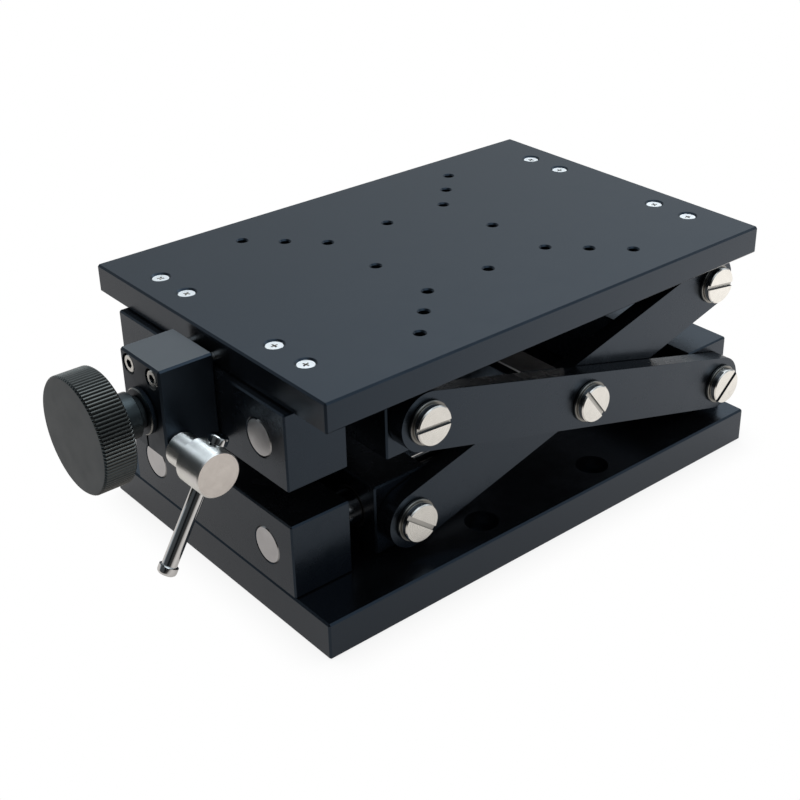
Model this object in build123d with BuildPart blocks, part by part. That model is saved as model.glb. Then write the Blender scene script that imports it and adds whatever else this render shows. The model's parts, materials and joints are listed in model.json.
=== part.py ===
from build123d import *
import math
import os

os.makedirs("parts", exist_ok=True)

# Scissor lift stage. Origin: middle of the base plate's underside.
# X runs along the plates with the knob at -X, Z is up. All lengths are millimetres.

# Plates
table_width = 120.0
table_thickness = 9.5
base_width = 120.0
base_thickness = 12.5
plate_gap = 61.5
plate_edge_break = 0.6

# Tapped grid in the table and counterbored mounting holes in the base
grid_hole_diameter = 3.3
grid_edge_break = 0.45
grid_half_spacings = (25.0, 35.0, 45.0)
grid_axis_offset = 25.0
mount_half_x = 25.0
mount_half_y = 50.0
mount_hole_diameter = 6.6
mount_head_diameter = 11.0
mount_head_depth = 6.5

# Cross blocks
block_height = 25.0
block_edge_break = 0.5
end_block_length = 21.0
end_block_width = 88.0
upper_end_block_proud = 2.5
hinge_block_length = 20.0
narrow_block_width = 86.0
slider_length = 20.0
slider_clearance = 0.5
slider_park_gap = 9.87785

# Countersunk screws that hold the blocks
block_screw_diameter = 3.0
block_screw_head_diameter = 5.4
block_screw_sink = 0.5
block_screw_inset = 12.5
block_screw_edge_distance = 5.0
block_screw_row_spacing = 15.0
sink_angle = 90.0
table_screw_length = 14.0
base_screw_length = 18.0
thread_clearance = 0.05

# Guide rods
rod_diameter = 12.0
rod_edge_distance = 12.0
rod_reach = 27.6
rod_mouth_break = 0.25
bush_diameter = 14.0
running_clearance = 0.05

# Scissor arms
arm_pitch = 139.0
arm_width = 19.0
arm_thickness = 6.0
arm_gap = 0.4
arm_edge_break = 0.4
tie_width = 16.8
tie_thickness = 3.0
tie_offset = 19.6

# Slotted shoulder screws at the pivots
shoulder_diameter = 8.0
pivot_thread_diameter = 6.0
pivot_thread_length = 4.5
pivot_thread_spare = 0.3
pivot_head_diameter = 12.6
pivot_head_height = 2.4
pivot_head_break = 0.3
pivot_slot_width = 1.6
pivot_slot_depth = 1.2
lower_hinge_slot = 42.0
upper_hinge_slot = -8.5
lower_slider_slot = -39.0
upper_slider_slot = -4.0
centre_slot = -53.0
washer_diameter = 14.0
washer_thickness = 1.0
washer_play = 0.1

# Drive block on the upper end block
drive_block_length = 18.0
drive_block_width = 21.2
drive_block_height = 29.2
drive_block_drop = 3.2
drive_block_edge_break = 0.6
drive_split_width = 1.0
drive_screw_half_spacing = 6.2
drive_screw_depth_below_top = 3.9
drive_screw_diameter = 3.0
drive_screw_hole_diameter = 3.4
drive_screw_head_diameter = 5.5
drive_screw_head_height = 3.0
drive_screw_counterbore = 6.5
drive_screw_sink = 0.2
drive_screw_reach = 6.0
drive_screw_socket_radius = 1.45
drive_screw_socket_depth = 1.5
drive_screw_spare = 1.0

# Lead screw, nut and knob
lead_screw_drop = 10.0
journal_diameter = 8.0
lead_thread_diameter = 10.0
lead_clearance_bore = 12.0
lead_shoulder_gap = 0.5
nut_diameter = 16.0
thrust_washer_diameter = 14.4
thrust_washer_thickness = 1.8
axial_play = 0.1
hub_nose_diameter = 10.0
hub_nose_length = 2.2
hub_diameter = 14.0
hub_length = 8.8
knob_diameter = 35.4
knob_length = 9.6
knob_bevel = 0.6
knob_socket_depth = 3.0
knurl_count = 80
knurl_depth = 0.5
knurl_side = math.hypot(knurl_depth, knurl_depth)
grub_diameter = 4.0
grub_length = 2.6
grub_socket_radius = 1.1
grub_socket_depth = 1.2

# Clamp screw with its tommy bar
clamp_inset = 4.5
clamp_rise = 3.2
clamp_shank_diameter = 4.0
clamp_shank_clearance = 0.1
clamp_seat_gap = 0.2
clamp_neck_diameter = 9.3
clamp_neck_length = 8.4
clamp_head_diameter = 14.0
clamp_head_length = 11.1
clamp_head_break = 0.4
bar_tilt = 30.5
bar_diameter = 4.6
bar_clearance = 0.1
bar_reach = 33.0
cap_diameter = 5.8
cap_length = 3.0
cap_overlap = 2.0
cap_rest_gap = 0.2
cap_edge_break = 0.4

# Heights that follow from the sizes above
lower_z = base_thickness + block_height / 2
table_bottom = base_thickness + plate_gap
table_top = table_bottom + table_thickness
upper_z = table_bottom - block_height / 2
centre_z = (lower_z + upper_z) / 2

# Lengths that follow from the arms: from the end block past the slider to the hinge block
rise = upper_z - lower_z
run = math.sqrt(arm_pitch**2 - rise**2)
slider_room = end_block_length + slider_park_gap + slider_length / 2
base_length = slider_room + run + hinge_block_length / 2
table_length = base_length - 2 * upper_end_block_proud
hinge_right = base_length / 2
hinge_x = hinge_right - hinge_block_length / 2
slider_x = hinge_x - run
centre_x = hinge_x - run / 2
arm_angle = math.degrees(math.atan2(rise, run))
lower_end_left = -base_length / 2
upper_end_left = -table_length / 2 - upper_end_block_proud

# Widths and places that follow
inner_arm_face = narrow_block_width / 2 + arm_gap
outer_arm_face = inner_arm_face + arm_thickness + arm_gap
wide_block_width = 2 * (outer_arm_face - arm_gap)
slider_height = block_height - 2 * slider_clearance
drive_left = upper_end_left - drive_block_length
drive_top = table_top - drive_block_drop
drive_bottom = drive_top - drive_block_height
drive_screw_z = drive_top - drive_screw_depth_below_top
screw_z = table_bottom - lead_screw_drop
rod_half_spacing = narrow_block_width / 2 - rod_edge_distance
rod_inner_end = slider_x + slider_length / 2 + rod_reach
clamp_x = drive_left + clamp_inset
clamp_z = drive_bottom + clamp_rise
clamp_seat_y = drive_block_width / 2 + clamp_seat_gap
clamp_head_y = clamp_seat_y + clamp_neck_length
clamp_front_y = clamp_head_y + clamp_head_length
bar_y = (clamp_head_y + clamp_front_y) / 2


# Plane on a side of the stage at distance y from the middle, its normal outwards (side -1 or 1)
def side_plane(x, y, z, side):
    return Plane(origin=(x, side * y, z), x_dir=(1, 0, 0), z_dir=(0, side, 0))


# Rectangular plate with broken edges, standing on the given height
def plate(length, width, thickness, bottom):
    with BuildPart() as slab:
        with BuildSketch(Plane.XY.offset(bottom)):
            Rectangle(length, width)
        extrude(amount=thickness)
        chamfer(slab.edges(), length=plate_edge_break)
    return slab.part


# Cross block with broken edges, drawn from its left face and its middle height
def cross_block(left, length, width, height, middle_z):
    with BuildPart() as block:
        with BuildSketch(Plane.YZ.offset(left)):
            with Locations((0, middle_z)):
                Rectangle(width, height)
        extrude(amount=length)
        chamfer(block.edges(), length=block_edge_break)
    return block.part


# Guide rods from the left face of their end block to their free ends, one each side of the middle
def rod_pair(left, z):
    with BuildPart() as rods:
        with BuildSketch(Plane.YZ.offset(left)):
            with Locations((-rod_half_spacing, z), (rod_half_spacing, z)):
                Circle(rod_diameter / 2)
        extrude(amount=rod_inner_end - left)
    return rods


# Pair of rings on the guide rods
def bush_pair(left, z):
    with BuildPart() as bushes:
        with BuildSketch(Plane.YZ.offset(left)):
            with Locations((-rod_half_spacing, z), (rod_half_spacing, z)):
                Circle(bush_diameter / 2)
                Circle(rod_diameter / 2 + running_clearance, mode=Mode.SUBTRACT)
        extrude(amount=slider_length)
    return bushes


# Round-ended arm with its two end bores and the middle bore
def scissor_arm(side, face, tilt, middle_radius):
    turn = -side * tilt
    with BuildPart() as arm:
        with BuildSketch(side_plane(centre_x, face, centre_z, side)):
            SlotCenterToCenter(arm_pitch, arm_width, rotation=turn)
        extrude(amount=arm_thickness)
        chamfer(arm.edges(), length=arm_edge_break)
        with BuildSketch(side_plane(centre_x, face, centre_z, side)):
            with PolarLocations(arm_pitch / 2, 2, start_angle=turn):
                Circle(shoulder_diameter / 2 + running_clearance)
            Circle(middle_radius)
        extrude(amount=arm_thickness, mode=Mode.SUBTRACT)
    return arm


# Shoulder screw seated on a side face: thread inside, shoulder through the arm, slotted head
def shoulder_screw(x, z, seat, side, slot_angle):
    shoulder_length = arm_gap + arm_thickness + washer_play + washer_thickness
    with BuildPart() as screw:
        with BuildSketch(side_plane(x, seat - pivot_thread_length, z, side)):
            Circle(pivot_thread_diameter / 2)
        extrude(amount=pivot_thread_length)
        with BuildSketch(side_plane(x, seat, z, side)):
            Circle(shoulder_diameter / 2)
        extrude(amount=shoulder_length)
        with BuildSketch(side_plane(x, seat + shoulder_length, z, side)):
            Circle(pivot_head_diameter / 2)
        extrude(amount=pivot_head_height)
        rim = screw.edges().filter_by(GeomType.CIRCLE).sort_by(Axis.Y)
        chamfer(rim[0 if side < 0 else -1], length=pivot_head_break)
        with BuildSketch(side_plane(x, seat + shoulder_length + pivot_head_height, z, side)):
            Rectangle(2 * pivot_head_diameter, pivot_slot_width, rotation=-side * slot_angle)
        extrude(amount=-pivot_slot_depth, mode=Mode.SUBTRACT)
    return screw.part


# Flat washer under a pivot screw's head
def pivot_washer(x, z, seat, side):
    inner_face = seat + arm_gap + arm_thickness + washer_play
    with BuildPart() as washer:
        with BuildSketch(side_plane(x, inner_face, z, side)):
            Circle(washer_diameter / 2)
            Circle(shoulder_diameter / 2 + thread_clearance, mode=Mode.SUBTRACT)
        extrude(amount=washer_thickness)
    return washer.part


# The near and the far shoulder screw of one pivot
def shoulder_screws(x, z, seat, slot_angle):
    screws = [shoulder_screw(x, z, seat, side, slot_angle) for side in (-1, 1)]
    with BuildPart() as pair:
        add(screws)
    return pair


# The near and the far washer of one pivot
def pivot_washers(x, z, seat):
    washers = [pivot_washer(x, z, seat, side) for side in (-1, 1)]
    with BuildPart() as pair:
        add(washers)
    return pair


# Countersunk screw pointing against the plane's normal, its head just under the surface
def countersunk_screw(plane, length):
    head_radius = block_screw_head_diameter / 2
    shank_radius = block_screw_diameter / 2
    head_depth = head_radius - shank_radius
    with BuildPart() as screw:
        with BuildSketch(plane.offset(-block_screw_sink)):
            Circle(head_radius)
        with BuildSketch(plane.offset(-block_screw_sink - head_depth)):
            Circle(shank_radius)
        loft()
        with BuildSketch(plane.offset(-block_screw_sink - head_depth)):
            Circle(shank_radius)
        extrude(amount=head_depth - length)
    return screw.part


# Countersunk screws: four across each cross block, all at one inset from the blocks' outer faces
outer_row = narrow_block_width / 2 - block_screw_edge_distance
inner_row = outer_row - block_screw_row_spacing
screw_rows = (-outer_row, -inner_row, inner_row, outer_row)
lower_end_spots = [(lower_end_left + block_screw_inset, row) for row in screw_rows]
upper_end_spots = [(upper_end_left + block_screw_inset, row) for row in screw_rows]
hinge_spots = [(hinge_right - block_screw_inset, row) for row in screw_rows]
screw_hole_radius = block_screw_diameter / 2 + thread_clearance
sink_radius = block_screw_head_diameter / 2 + block_screw_sink + thread_clearance
thread_hole_radius = pivot_thread_diameter / 2 + thread_clearance
thread_hole_depth = pivot_thread_length + pivot_thread_spare

# Base plate
base_blank = plate(base_length, base_width, base_thickness, 0)
with BuildPart() as base_plate:
    add(base_blank)
    with Locations((0, 0, base_thickness)):
        with GridLocations(2 * mount_half_x, 2 * mount_half_y, 2, 2):
            CounterBoreHole(mount_hole_diameter / 2, mount_head_diameter / 2, mount_head_depth)
    for x, y in lower_end_spots + hinge_spots:
        with Locations(Plane(origin=(x, y, 0), z_dir=(0, 0, -1))):
            CounterSinkHole(screw_hole_radius, sink_radius, counter_sink_angle=sink_angle)

# Table plate with its tapped grid, the countersunk block screws and the two edge threads
table_blank = plate(table_length, table_width, table_thickness, table_bottom)
with BuildPart() as table_plate:
    add(table_blank)
    for half in grid_half_spacings:
        with Locations((0, 0, table_top)):
            with GridLocations(2 * half, 2 * half, 2, 2):
                CounterSinkHole(grid_hole_diameter / 2, grid_hole_diameter / 2 + grid_edge_break)
    with Locations((0, 0, table_top)):
        with PolarLocations(grid_axis_offset, 4):
            CounterSinkHole(grid_hole_diameter / 2, grid_hole_diameter / 2 + grid_edge_break)
    for x, y in upper_end_spots + hinge_spots:
        with Locations((x, y, table_top)):
            CounterSinkHole(screw_hole_radius, sink_radius, counter_sink_angle=sink_angle)
    for side in (-1, 1):
        spot = (-table_length / 2, side * drive_screw_half_spacing, drive_screw_z)
        with Locations(Plane(origin=spot, z_dir=(-1, 0, 0))):
            Hole(drive_screw_diameter / 2 + thread_clearance, drive_screw_reach + drive_screw_spare)

# End blocks that carry the guide rods
end_block_blanks = [
    cross_block(lower_end_left, end_block_length, end_block_width, block_height, lower_z),
    cross_block(upper_end_left, end_block_length, end_block_width, block_height, upper_z),
]
lower_screw_bite = base_screw_length + block_screw_sink - base_thickness + thread_clearance
upper_screw_bite = table_screw_length + block_screw_sink - table_thickness + thread_clearance
with BuildPart() as lower_end_block:
    add(end_block_blanks[0])
    for side in (-1, 1):
        spot = (lower_end_left, side * rod_half_spacing, lower_z)
        with Locations(Plane(origin=spot, z_dir=(-1, 0, 0))):
            CounterSinkHole(rod_diameter / 2, rod_diameter / 2 + rod_mouth_break, end_block_length)
    for x, y in lower_end_spots:
        with Locations(Plane(origin=(x, y, base_thickness), z_dir=(0, 0, -1))):
            Hole(screw_hole_radius, lower_screw_bite)

with BuildPart() as upper_end_block:
    add(end_block_blanks[1])
    for side in (-1, 1):
        spot = (upper_end_left, side * rod_half_spacing, upper_z)
        with Locations(Plane(origin=spot, z_dir=(-1, 0, 0))):
            CounterSinkHole(rod_diameter / 2, rod_diameter / 2 + rod_mouth_break, end_block_length)
    with Locations(Plane(origin=(upper_end_left, 0, screw_z), z_dir=(-1, 0, 0))):
        Hole(lead_clearance_bore / 2, end_block_length)
    for x, y in upper_end_spots:
        with Locations((x, y, table_bottom)):
            Hole(screw_hole_radius, upper_screw_bite)

# Hinge blocks, the wide one on the base for the outer arms, the narrow one under the table
hinge_left = hinge_right - hinge_block_length
hinge_block_blanks = [
    cross_block(hinge_left, hinge_block_length, wide_block_width, block_height, lower_z),
    cross_block(hinge_left, hinge_block_length, narrow_block_width, block_height, upper_z),
]
with BuildPart() as lower_hinge_block:
    add(hinge_block_blanks[0])
    for side in (-1, 1):
        with Locations(side_plane(hinge_x, wide_block_width / 2, lower_z, side)):
            Hole(thread_hole_radius, thread_hole_depth)
    for x, y in hinge_spots:
        with Locations(Plane(origin=(x, y, base_thickness), z_dir=(0, 0, -1))):
            Hole(screw_hole_radius, lower_screw_bite)

with BuildPart() as upper_hinge_block:
    add(hinge_block_blanks[1])
    for side in (-1, 1):
        with Locations(side_plane(hinge_x, narrow_block_width / 2, upper_z, side)):
            Hole(thread_hole_radius, thread_hole_depth)
    for x, y in hinge_spots:
        with Locations((x, y, table_bottom)):
            Hole(screw_hole_radius, upper_screw_bite)

# Slider blocks, the wide one under the table for the outer arms, the narrow one on the base
slider_left = slider_x - slider_length / 2
slider_blanks = [
    cross_block(slider_left, slider_length, narrow_block_width, slider_height, lower_z),
    cross_block(slider_left, slider_length, wide_block_width, slider_height, upper_z),
]
with BuildPart() as lower_slider_block:
    add(slider_blanks[0])
    for side in (-1, 1):
        with Locations(Plane(origin=(slider_left, side * rod_half_spacing, lower_z), z_dir=(-1, 0, 0))):
            Hole(bush_diameter / 2, slider_length)
        with Locations(side_plane(slider_x, narrow_block_width / 2, lower_z, side)):
            Hole(thread_hole_radius, thread_hole_depth)

with BuildPart() as upper_slider_block:
    add(slider_blanks[1])
    for side in (-1, 1):
        with Locations(Plane(origin=(slider_left, side * rod_half_spacing, upper_z), z_dir=(-1, 0, 0))):
            Hole(bush_diameter / 2, slider_length)
        with Locations(side_plane(slider_x, wide_block_width / 2, upper_z, side)):
            Hole(thread_hole_radius, thread_hole_depth)
    with Locations(Plane(origin=(slider_left, 0, screw_z), z_dir=(-1, 0, 0))):
        Hole(nut_diameter / 2, slider_length)

# Guide rods, their bushes in the sliders and the nut on the lead screw
lower_rods = rod_pair(lower_end_left, lower_z)
upper_rods = rod_pair(upper_end_left, upper_z)
lower_bushes = bush_pair(slider_left, lower_z)
upper_bushes = bush_pair(slider_left, upper_z)

with BuildPart() as lead_nut:
    with BuildSketch(Plane.YZ.offset(slider_left)):
        with Locations((0, screw_z)):
            Circle(nut_diameter / 2)
            Circle(lead_thread_diameter / 2 + running_clearance, mode=Mode.SUBTRACT)
    extrude(amount=slider_length)

# Scissor arms: the outer pair rises to the left, the inner pair to the right
outer_arm_near = scissor_arm(-1, outer_arm_face, -arm_angle, shoulder_diameter / 2 + running_clearance)
outer_arm_far = scissor_arm(1, outer_arm_face, -arm_angle, shoulder_diameter / 2 + running_clearance)
inner_arm_near = scissor_arm(-1, inner_arm_face, arm_angle, thread_hole_radius)
inner_arm_far = scissor_arm(1, inner_arm_face, arm_angle, thread_hole_radius)

# Tie plate between the outer arms, flush with their top edges
slope = math.radians(arm_angle)
tie_plane = Plane(
    origin=(centre_x, 0, centre_z),
    x_dir=(-math.cos(slope), 0, math.sin(slope)),
    z_dir=(math.sin(slope), 0, math.cos(slope)),
)
with BuildPart() as tie_plate:
    with BuildSketch(tie_plane.offset(arm_width / 2 - tie_thickness)):
        with Locations((tie_offset, 0)):
            Rectangle(tie_width, 2 * outer_arm_face)
    extrude(amount=tie_thickness)

# Pivot screws and washers, one pair for each pivot
narrow_seat = narrow_block_width / 2
wide_seat = wide_block_width / 2
centre_seat = inner_arm_face + arm_thickness
lower_hinge_screws = shoulder_screws(hinge_x, lower_z, wide_seat, lower_hinge_slot)
lower_hinge_washers = pivot_washers(hinge_x, lower_z, wide_seat)
upper_hinge_screws = shoulder_screws(hinge_x, upper_z, narrow_seat, upper_hinge_slot)
upper_hinge_washers = pivot_washers(hinge_x, upper_z, narrow_seat)
lower_slider_screws = shoulder_screws(slider_x, lower_z, narrow_seat, lower_slider_slot)
lower_slider_washers = pivot_washers(slider_x, lower_z, narrow_seat)
upper_slider_screws = shoulder_screws(slider_x, upper_z, wide_seat, upper_slider_slot)
upper_slider_washers = pivot_washers(slider_x, upper_z, wide_seat)
centre_screws = shoulder_screws(centre_x, centre_z, centre_seat, centre_slot)
centre_washers = pivot_washers(centre_x, centre_z, centre_seat)

# Countersunk screws of the table and of the base
table_screw_parts = [
    countersunk_screw(Plane(origin=(x, y, table_top)), table_screw_length)
    for x, y in upper_end_spots + hinge_spots
]
base_screw_parts = [
    countersunk_screw(Plane(origin=(x, y, 0), z_dir=(0, 0, -1)), base_screw_length)
    for x, y in lower_end_spots + hinge_spots
]
with BuildPart() as table_screws:
    add(table_screw_parts)
with BuildPart() as base_screws:
    add(base_screw_parts)

# Drive block: bearing for the lead screw, split below it so that the clamp screw can close it
journal_bore_radius = journal_diameter / 2 + running_clearance
with BuildPart() as drive_block:
    with BuildSketch(Plane.YZ.offset(drive_left)):
        with Locations((0, drive_top - drive_block_height / 2)):
            Rectangle(drive_block_width, drive_block_height)
    extrude(amount=drive_block_length)
    chamfer(drive_block.edges(), length=drive_block_edge_break)
    with Locations(Plane(origin=(drive_left, 0, screw_z), z_dir=(-1, 0, 0))):
        Hole(journal_bore_radius, drive_block_length)
    with BuildSketch(Plane.YZ.offset(drive_left)):
        with Locations((0, screw_z)):
            Rectangle(
                drive_split_width,
                screw_z - drive_bottom,
                align=(Align.CENTER, Align.MAX),
            )
    extrude(amount=drive_block_length, mode=Mode.SUBTRACT)
    with Locations(side_plane(clamp_x, drive_block_width / 2, clamp_z, -1)):
        Hole(clamp_shank_diameter / 2 + clamp_shank_clearance, drive_block_width)
    for side in (-1, 1):
        spot = (drive_left, side * drive_screw_half_spacing, drive_screw_z)
        with Locations(Plane(origin=spot, z_dir=(-1, 0, 0))):
            CounterBoreHole(
                drive_screw_hole_diameter / 2,
                drive_screw_counterbore / 2,
                drive_screw_head_height + drive_screw_sink,
                drive_block_length,
            )

# Cap screws through the drive block into the table's edge
drive_screw_tip = -table_length / 2 + drive_screw_reach
drive_screw_front = drive_left + drive_screw_sink
with BuildPart() as drive_block_screws:
    for side in (-1, 1):
        with BuildSketch(Plane.YZ.offset(drive_screw_front)):
            with Locations((side * drive_screw_half_spacing, drive_screw_z)):
                Circle(drive_screw_head_diameter / 2)
                RegularPolygon(drive_screw_socket_radius, 6, mode=Mode.SUBTRACT)
        extrude(amount=drive_screw_socket_depth)
        with BuildSketch(Plane.YZ.offset(drive_screw_front + drive_screw_socket_depth)):
            with Locations((side * drive_screw_half_spacing, drive_screw_z)):
                Circle(drive_screw_head_diameter / 2)
        extrude(amount=drive_screw_head_height - drive_screw_socket_depth)
        with BuildSketch(Plane.YZ.offset(drive_screw_front + drive_screw_head_height)):
            with Locations((side * drive_screw_half_spacing, drive_screw_z)):
                Circle(drive_screw_diameter / 2)
        extrude(amount=drive_screw_tip - drive_screw_front - drive_screw_head_height)

# Thrust washer on the drive block's outer face
with BuildPart() as thrust_washer:
    with BuildSketch(Plane.YZ.offset(drive_left - thrust_washer_thickness)):
        with Locations((0, screw_z)):
            Circle(thrust_washer_diameter / 2)
            Circle(journal_bore_radius, mode=Mode.SUBTRACT)
    extrude(amount=thrust_washer_thickness)

# Knob with a straight knurl, its hub towards the drive block
hub_nose_right = drive_left - thrust_washer_thickness - axial_play
hub_right = hub_nose_right - hub_nose_length
hub_left = hub_right - hub_length
knob_left = hub_left - knob_length
knob_radius = knob_diameter / 2
with BuildPart() as knob:
    with BuildSketch(Plane.YZ.offset(knob_left + knob_bevel)):
        with Locations((0, screw_z)):
            Circle(knob_radius)
            with PolarLocations(knob_radius, knurl_count):
                Rectangle(knurl_side, knurl_side, rotation=45, mode=Mode.SUBTRACT)
    extrude(amount=knob_length - 2 * knob_bevel)
    with BuildSketch(Plane.YZ.offset(knob_left + knob_bevel)):
        with Locations((0, screw_z)):
            Circle(knob_radius - knurl_depth)
    extrude(amount=-knob_bevel, taper=45)
    with BuildSketch(Plane.YZ.offset(hub_left - knob_bevel)):
        with Locations((0, screw_z)):
            Circle(knob_radius - knurl_depth)
    extrude(amount=knob_bevel, taper=45)
    with BuildSketch(Plane.YZ.offset(hub_left)):
        with Locations((0, screw_z)):
            Circle(hub_diameter / 2)
    extrude(amount=hub_length)
    with BuildSketch(Plane.YZ.offset(hub_right)):
        with Locations((0, screw_z)):
            Circle(hub_nose_diameter / 2)
    extrude(amount=hub_nose_length)
    with Locations(Plane(origin=(hub_nose_right, 0, screw_z), z_dir=(1, 0, 0))):
        Hole(journal_diameter / 2, hub_nose_length + hub_length + knob_socket_depth)
    with Locations(side_plane((hub_left + hub_right) / 2, hub_diameter / 2, screw_z, 1)):
        Hole(grub_diameter / 2, hub_diameter / 2)

# Grub screw that holds the hub on the journal
with BuildPart() as knob_grub_screw:
    with BuildSketch(side_plane((hub_left + hub_right) / 2, journal_diameter / 2, screw_z, 1)):
        Circle(grub_diameter / 2)
    extrude(amount=grub_length)
    with BuildSketch(
        side_plane((hub_left + hub_right) / 2, journal_diameter / 2 + grub_length, screw_z, 1)
    ):
        RegularPolygon(grub_socket_radius, 6)
    extrude(amount=-grub_socket_depth, mode=Mode.SUBTRACT)

# Lead screw: journal in the knob and the drive block, then the threaded length
journal_left = hub_left - knob_socket_depth
thread_left = upper_end_left + lead_shoulder_gap
with BuildPart() as lead_screw:
    with BuildSketch(Plane.YZ.offset(journal_left)):
        with Locations((0, screw_z)):
            Circle(journal_diameter / 2)
    extrude(amount=thread_left - journal_left)
    with BuildSketch(Plane.YZ.offset(thread_left)):
        with Locations((0, screw_z)):
            Circle(lead_thread_diameter / 2)
    extrude(amount=rod_inner_end - thread_left)

# Clamp screw across the split, with the cross hole for its tommy bar
tilt = math.radians(bar_tilt)
bar_plane = Plane(
    origin=(clamp_x, -bar_y, clamp_z),
    x_dir=(0, 1, 0),
    z_dir=(math.sin(tilt), 0, math.cos(tilt)),
)
with BuildPart() as clamp_screw:
    with BuildSketch(side_plane(clamp_x, -drive_block_width / 2, clamp_z, -1)):
        Circle(clamp_shank_diameter / 2)
    extrude(amount=drive_block_width / 2 + clamp_seat_y)
    with BuildSketch(side_plane(clamp_x, clamp_seat_y, clamp_z, -1)):
        Circle(clamp_neck_diameter / 2)
    extrude(amount=clamp_neck_length)
    with BuildSketch(side_plane(clamp_x, clamp_head_y, clamp_z, -1)):
        Circle(clamp_head_diameter / 2)
    extrude(amount=clamp_head_length)
    head_rims = clamp_screw.edges().filter_by(GeomType.CIRCLE).sort_by(Axis.Y)
    chamfer(head_rims[0:2], length=clamp_head_break)
    with BuildSketch(bar_plane.offset(-clamp_head_diameter)):
        Circle(bar_diameter / 2 + bar_clearance)
    extrude(amount=2 * clamp_head_diameter, mode=Mode.SUBTRACT)

# Tommy bar, hanging down to the stop of its upper cap, and the two end caps
upper_cap_start = clamp_head_diameter / 2 + cap_rest_gap
lower_cap_start = -bar_reach
with BuildPart() as tommy_bar:
    with BuildSketch(bar_plane.offset(lower_cap_start + cap_length - cap_overlap)):
        Circle(bar_diameter / 2)
    extrude(amount=upper_cap_start + cap_overlap - lower_cap_start - cap_length + cap_overlap)

with BuildPart() as tommy_bar_caps:
    for start in (lower_cap_start, upper_cap_start):
        with BuildSketch(bar_plane.offset(start)):
            Circle(cap_diameter / 2)
        extrude(amount=cap_length)
    cap_rims = tommy_bar_caps.edges().filter_by(GeomType.CIRCLE)
    chamfer(cap_rims, length=cap_edge_break)
    for start in (lower_cap_start + cap_length - cap_overlap, upper_cap_start):
        with BuildSketch(bar_plane.offset(start)):
            Circle(bar_diameter / 2)
        extrude(amount=cap_overlap, mode=Mode.SUBTRACT)

base_plate.part.label = "base_plate"
export_step(base_plate.part, "parts/base_plate.step")

lower_end_block.part.label = "lower_end_block"
export_step(lower_end_block.part, "parts/lower_end_block.step")

lower_hinge_block.part.label = "lower_hinge_block"
export_step(lower_hinge_block.part, "parts/lower_hinge_block.step")

lower_rods.part.label = "lower_rods"
export_step(lower_rods.part, "parts/lower_rods.step")

base_screws.part.label = "base_screws"
export_step(base_screws.part, "parts/base_screws.step")

table_plate.part.label = "table_plate"
export_step(table_plate.part, "parts/table_plate.step")

upper_end_block.part.label = "upper_end_block"
export_step(upper_end_block.part, "parts/upper_end_block.step")

upper_hinge_block.part.label = "upper_hinge_block"
export_step(upper_hinge_block.part, "parts/upper_hinge_block.step")

upper_rods.part.label = "upper_rods"
export_step(upper_rods.part, "parts/upper_rods.step")

table_screws.part.label = "table_screws"
export_step(table_screws.part, "parts/table_screws.step")

drive_block.part.label = "drive_block"
export_step(drive_block.part, "parts/drive_block.step")

drive_block_screws.part.label = "drive_block_screws"
export_step(drive_block_screws.part, "parts/drive_block_screws.step")

thrust_washer.part.label = "thrust_washer"
export_step(thrust_washer.part, "parts/thrust_washer.step")

outer_arm_near.part.label = "outer_arm_near"
export_step(outer_arm_near.part, "parts/outer_arm_near.step")

outer_arm_far.part.label = "outer_arm_far"
export_step(outer_arm_far.part, "parts/outer_arm_far.step")

tie_plate.part.label = "tie_plate"
export_step(tie_plate.part, "parts/tie_plate.step")

inner_arm_near.part.label = "inner_arm_near"
export_step(inner_arm_near.part, "parts/inner_arm_near.step")

inner_arm_far.part.label = "inner_arm_far"
export_step(inner_arm_far.part, "parts/inner_arm_far.step")

upper_slider_block.part.label = "upper_slider_block"
export_step(upper_slider_block.part, "parts/upper_slider_block.step")

upper_bushes.part.label = "upper_bushes"
export_step(upper_bushes.part, "parts/upper_bushes.step")

lead_nut.part.label = "lead_nut"
export_step(lead_nut.part, "parts/lead_nut.step")

lower_slider_block.part.label = "lower_slider_block"
export_step(lower_slider_block.part, "parts/lower_slider_block.step")

lower_bushes.part.label = "lower_bushes"
export_step(lower_bushes.part, "parts/lower_bushes.step")

knob.part.label = "knob"
export_step(knob.part, "parts/knob.step")

knob_grub_screw.part.label = "knob_grub_screw"
export_step(knob_grub_screw.part, "parts/knob_grub_screw.step")

lead_screw.part.label = "lead_screw"
export_step(lead_screw.part, "parts/lead_screw.step")

clamp_screw.part.label = "clamp_screw"
export_step(clamp_screw.part, "parts/clamp_screw.step")

tommy_bar.part.label = "tommy_bar"
export_step(tommy_bar.part, "parts/tommy_bar.step")

tommy_bar_caps.part.label = "tommy_bar_caps"
export_step(tommy_bar_caps.part, "parts/tommy_bar_caps.step")

lower_hinge_screws.part.label = "lower_hinge_screws"
export_step(lower_hinge_screws.part, "parts/lower_hinge_screws.step")

lower_hinge_washers.part.label = "lower_hinge_washers"
export_step(lower_hinge_washers.part, "parts/lower_hinge_washers.step")

upper_hinge_screws.part.label = "upper_hinge_screws"
export_step(upper_hinge_screws.part, "parts/upper_hinge_screws.step")

upper_hinge_washers.part.label = "upper_hinge_washers"
export_step(upper_hinge_washers.part, "parts/upper_hinge_washers.step")

lower_slider_screws.part.label = "lower_slider_screws"
export_step(lower_slider_screws.part, "parts/lower_slider_screws.step")

lower_slider_washers.part.label = "lower_slider_washers"
export_step(lower_slider_washers.part, "parts/lower_slider_washers.step")

upper_slider_screws.part.label = "upper_slider_screws"
export_step(upper_slider_screws.part, "parts/upper_slider_screws.step")

upper_slider_washers.part.label = "upper_slider_washers"
export_step(upper_slider_washers.part, "parts/upper_slider_washers.step")

centre_screws.part.label = "centre_screws"
export_step(centre_screws.part, "parts/centre_screws.step")

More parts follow.
